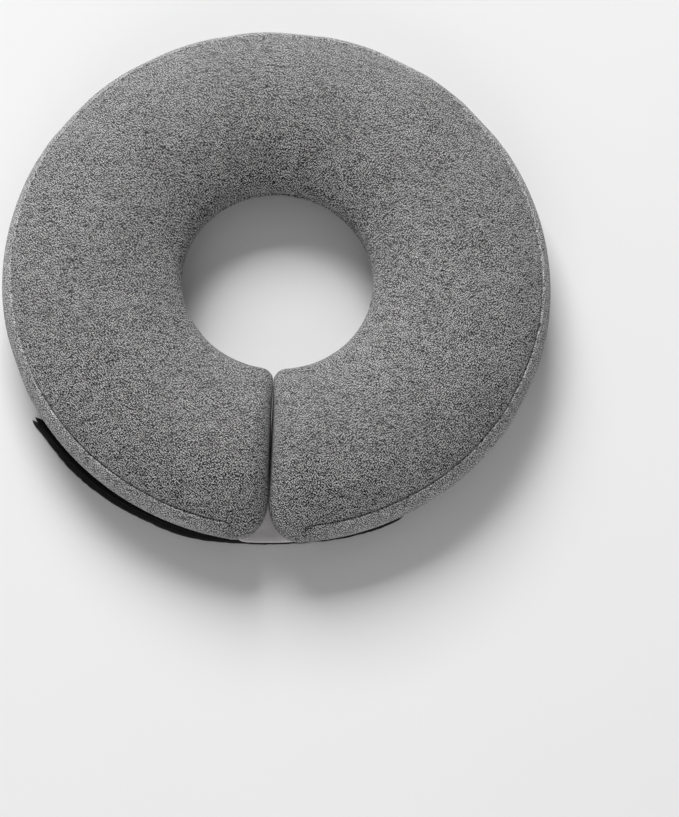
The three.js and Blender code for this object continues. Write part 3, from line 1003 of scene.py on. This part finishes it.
class COLLAR_OT_cover(bpy.types.Operator):
    """Sew the padded cover: front, rim gusset and back"""
    bl_idname = "collar.cover"
    bl_label = "Padded Cover"

    def execute(self, context):
        form, cloth = context.scene.collar_form, context.scene.collar_cloth
        bm, column, heights = build_cover(form)
        moves = fill_with_air(bm, column, form, cloth)
        wrinkle(bm, column, moves, cloth)
        pucker_seams(bm, column, form, cloth)
        for vertex in bm.verts:
            vertex.co.z = max(vertex.co.z, press(heights, ring_angle(vertex.co)) + 0.05 * MM)
        bm.normal_update()
        lie = bm.verts.layers.float_vector.new("lie")
        ditch = bm.verts.layers.float.new("ditch")
        for vertex in bm.verts:
            vertex[lie] = vertex.normal
            vertex[ditch] = seam_openness(vertex.co, vertex[column], form)
        face = heather_cloth(
            "heather_face_cloth", cloth.face_dark, cloth.face_light, 2.5 * MM, 0.65)
        gusset = heather_cloth(
            "heather_gusset_cloth", cloth.gusset_dark, cloth.gusset_light, 1.8 * MM, 0.66,
            ends=(cloth.face_dark, cloth.face_light))
        for panel, (name, node, slot) in PANELS.items():
            cut = cut_panel(bm, panel, cloth)
            piece = finish_piece(cut, name, node, gusset if panel == RIM else face)
            add_subdivision(piece)
            add_wall(piece, cloth.cloth_wall)
        bm.free()
        return {"FINISHED"}


class COLLAR_OT_flap(bpy.types.Operator):
    """Cut the closure flap, bind and stitch its outer edge"""
    bl_idname = "collar.flap"
    bl_label = "Closure Flap"

    def execute(self, context):
        cloth = context.scene.collar_cloth
        inner, rim, bottom, top = ply_outline("closure_flap")
        rim = [(angle, radius + edge_drift(angle)) for angle, radius in rim]
        bm = spin_ply(rim, inner, TAPE_WIDTH + 0.1 * MM, 22, 72)
        thicken_ply(bm, bottom + 0.25 * MM, top - 0.2 * MM, 0.4 * MM)
        trim_ply(bm, rim, (bottom, top), FLAP_TIP, 0.15 * MM, 3 * MM)
        pile = pile_cloth("hook_pile", cloth.pile, 0.45 * MM, 0.3 * MM, 2.6 * MM)
        flap = finish_piece(bm, "flap_cloth", "closure_flap", pile)
        tape = spin_tape(rim, bottom + 0.15 * MM, top - 0.05 * MM)
        trim_ply(tape, rim, (bottom, top), FLAP_TIP, 0.35 * MM, 2.6 * MM)
        weave = binding_tape("flap_binding_tape", cloth.binding)
        binding = finish_piece(tape, "flap_binding", "closure_flap", weave)
        sewing = bmesh.new()
        sew_under(sewing, stitch_places(rim, bottom + 0.3 * MM))
        cotton = thread("black_thread", cloth.binding)
        stitches = finish_piece(sewing, "flap_stitching", "closure_flap", cotton)
        return {"FINISHED"}


class COLLAR_OT_strip(bpy.types.Operator):
    """Cut the loop strip on the back of the ring"""
    bl_idname = "collar.strip"
    bl_label = "Loop Strip"

    def execute(self, context):
        cloth = context.scene.collar_cloth
        inner, rim, bottom, top = ply_outline("loop_strip")
        bm = spin_ply(rim, inner, 0, 22, 44)
        thicken_ply(bm, bottom, top, 0.5 * MM)
        trim_ply(bm, rim, (bottom, top), STRIP_TIP, 0.3 * MM, 2.2 * MM)
        pile = pile_cloth("loop_pile", cloth.pile, 0.6 * MM, 0.4 * MM, 3.4 * MM)
        strip = finish_piece(bm, "loop_strip_cloth", "loop_strip", pile)
        return {"FINISHED"}


class COLLAR_OT_facing(bpy.types.Operator):
    """Cut the pale facing that shows between the two ends"""
    bl_idname = "collar.facing"
    bl_label = "Flap Facing"

    def execute(self, context):
        cloth = context.scene.collar_cloth
        inner, rim, bottom, top = ply_outline("flap_facing")
        bm = spin_ply(rim, inner, 0, 26, 18)
        thicken_ply(bm, bottom, top, 0.35 * MM)
        for vertex in bm.verts:
            angle = ring_angle(vertex.co)
            away = rim_radius(rim, angle) - from_axis(vertex.co)
            share = (1 - smooth_step(0, 9 * MM, away)) * smooth_step(-6.4, -4.6, angle)
            vertex.co += outward(vertex.co) * share * 1.3 * MM
            vertex.co.z -= share * 0.25 * MM
        map_ply(bm, rim)
        brushed = facing_cloth("brushed_facing", cloth.facing)
        facing = finish_piece(bm, "facing_cloth", "flap_facing", brushed)
        return {"FINISHED"}


class COLLAR_OT_valve(bpy.types.Operator):
    """Turn the air valve and its cap"""
    bl_idname = "collar.valve"
    bl_label = "Air Valve"

    def execute(self, context):
        bm = turn_valve()
        place_valve(bm)
        plastic = valve_plastic("frosted_valve_plastic", context.scene.collar_cloth.valve)
        piece = finish_piece(bm, "valve_body", "air_valve", plastic)
        add_subdivision(piece)
        return {"FINISHED"}


class COLLAR_OT_stage(bpy.types.Operator):
    """Set up the camera, the pale floor and the soft lights"""
    bl_idname = "collar.stage"
    bl_label = "Stage"

    def execute(self, context):
        scene = context.scene
        stage = scene.collar_stage
        aim = Vector(stage.aim)
        back = Vector((
            -math.sin(stage.tilt) * math.sin(stage.swing),
            -math.sin(stage.tilt) * math.cos(stage.swing),
            math.cos(stage.tilt)))
        right = Vector((0, 1, 0)).cross(back).normalized()
        up = back.cross(right)
        turned_right = right * math.cos(stage.roll) + up * math.sin(stage.roll)
        turned_up = up * math.cos(stage.roll) - right * math.sin(stage.roll)
        lens = bpy.data.cameras.new("camera")
        lens.lens = stage.lens
        lens.sensor_fit = "AUTO"
        lens.sensor_width = lens.sensor_height = 36
        camera = add_object("camera", lens)
        turn = Matrix((turned_right, turned_up, back)).transposed()
        camera.matrix_world = Matrix.Translation(aim + back * stage.distance) @ turn.to_4x4()
        scene.camera = camera
        self.add_floor(stage)
        self.add_light("key", *KEY_LIGHT, stage.key_power)
        self.add_light("fill", *FILL_LIGHT, stage.fill_power)
        scene.world = self.sky(stage)
        scene.view_settings.view_transform = "Standard"
        return {"FINISHED"}

    def add_floor(self, stage):
        bm = bmesh.new()
        bmesh.ops.create_grid(bm, x_segments=1, y_segments=1, size=stage.floor_size / 2)
        data = mesh_of(bm, "floor")
        bm.free()
        dye = Dye("floor_paper")
        place = dye.add("TexCoord", output=3)
        dye.paint(dye.blend(dye.noise(place, 3, 3), (0.86, 0.86, 0.86, 1), (0.9, 0.9, 0.9, 1)))
        dye.gloss(0.9, specular=0.1)
        data.materials.append(dye.material)
        floor = add_object("floor", data)

    def add_light(self, name, place, size, power):
        lamp = bpy.data.lights.new(name, "AREA")
        lamp.size = size
        lamp.energy = power
        light = add_object(name, lamp)
        away = Vector(place) - Vector((0, 0, MID_HEIGHT))
        turn = away.to_track_quat("Z", "Y").to_matrix().to_4x4()
        light.matrix_world = Matrix.Translation(place) @ turn

    def sky(self, stage):
        world = bpy.data.worlds.new("soft_sky")
        world.use_nodes = True
        sky = world.node_tree.nodes["Background"]
        sky.inputs["Color"].default_value = (1, 1, 1, 1)
        sky.inputs["Strength"].default_value = stage.sky
        return world


class COLLAR_PT_panel(bpy.types.Panel):
    """Builds the collar and its stage"""
    bl_label = "Recovery Collar"
    bl_idname = "COLLAR_PT_panel"
    bl_space_type = "VIEW_3D"
    bl_region_type = "UI"
    bl_category = "Collar"

    def draw(self, context):
        for step in STEPS:
            self.layout.operator(step.bl_idname)


STEPS = (
    COLLAR_OT_stage, COLLAR_OT_cover, COLLAR_OT_flap, COLLAR_OT_strip, COLLAR_OT_facing,
    COLLAR_OT_valve)
GROUPS = {"collar_form": CollarForm, "collar_cloth": CollarCloth, "collar_stage": CollarStage}
CLASSES = (*GROUPS.values(), *STEPS, COLLAR_PT_panel)


def register():
    for item in CLASSES:
        bpy.utils.register_class(item)
    for name, group in GROUPS.items():
        setattr(bpy.types.Scene, name, PointerProperty(type=group))


def unregister():
    for name in GROUPS:
        delattr(bpy.types.Scene, name)
    for item in reversed(CLASSES):
        bpy.utils.unregister_class(item)


def main():
    register()
    bpy.ops.collar.stage()
    bpy.ops.collar.cover()
    bpy.ops.collar.flap()
    bpy.ops.collar.strip()
    bpy.ops.collar.facing()
    bpy.ops.collar.valve()


if __name__ == "__main__":
    main()
